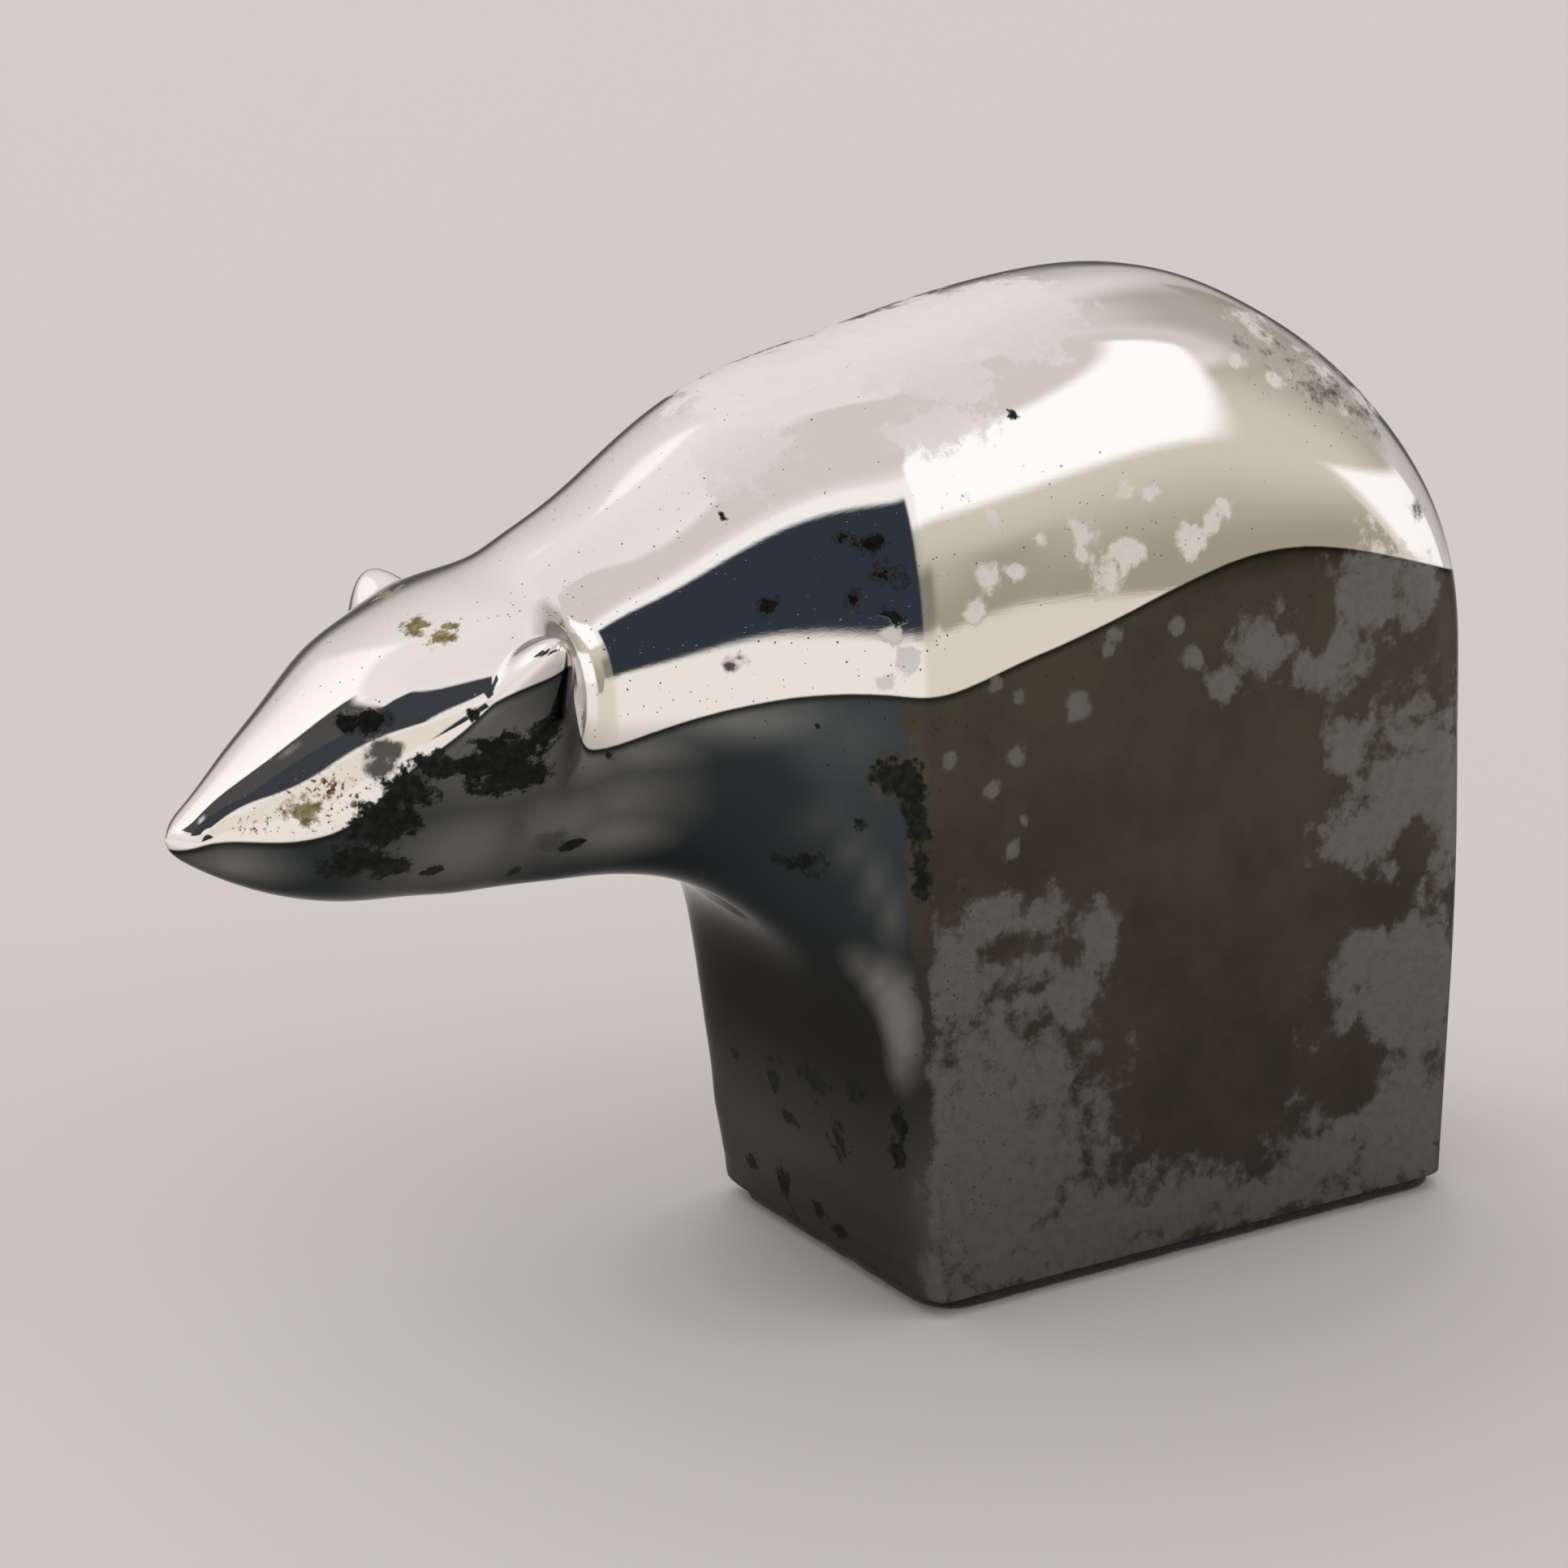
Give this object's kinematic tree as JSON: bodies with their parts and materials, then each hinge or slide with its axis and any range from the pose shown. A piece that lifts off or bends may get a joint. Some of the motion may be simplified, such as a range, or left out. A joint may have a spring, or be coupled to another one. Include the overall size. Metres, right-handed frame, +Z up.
{
  "type": "polar bear paperweight",
  "caption": "Stylised polar bear paperweight: plated hollow casting with block legs, arched back and outstretched pointed head, weighted inside and felted beneath",
  "frame": {"origin": "on the surface that the paperweight stands on, under the middle of its overall box", "axes": "+Z up, the bear looks along -X, Y across the body"},
  "size_m": [0.09, 0.028, 0.0653],
  "materials": {
    "silver_plate": "mirror-polished silver plate with hazed and tarnished patches",
    "plaster": "dry matt plaster",
    "cast_iron": "rough as cast",
    "sheet_steel": "plain rolled sheet",
    "black_felt": "short-fibred wool felt"
  },
  "bodies": {
    "root": {"bear_casting": "silver_plate", "ballast_bedding": "plaster", "ballast_slug": "cast_iron", "cover_plate": "sheet_steel", "felt_pad": "black_felt"}
  },
  "joints": []
}
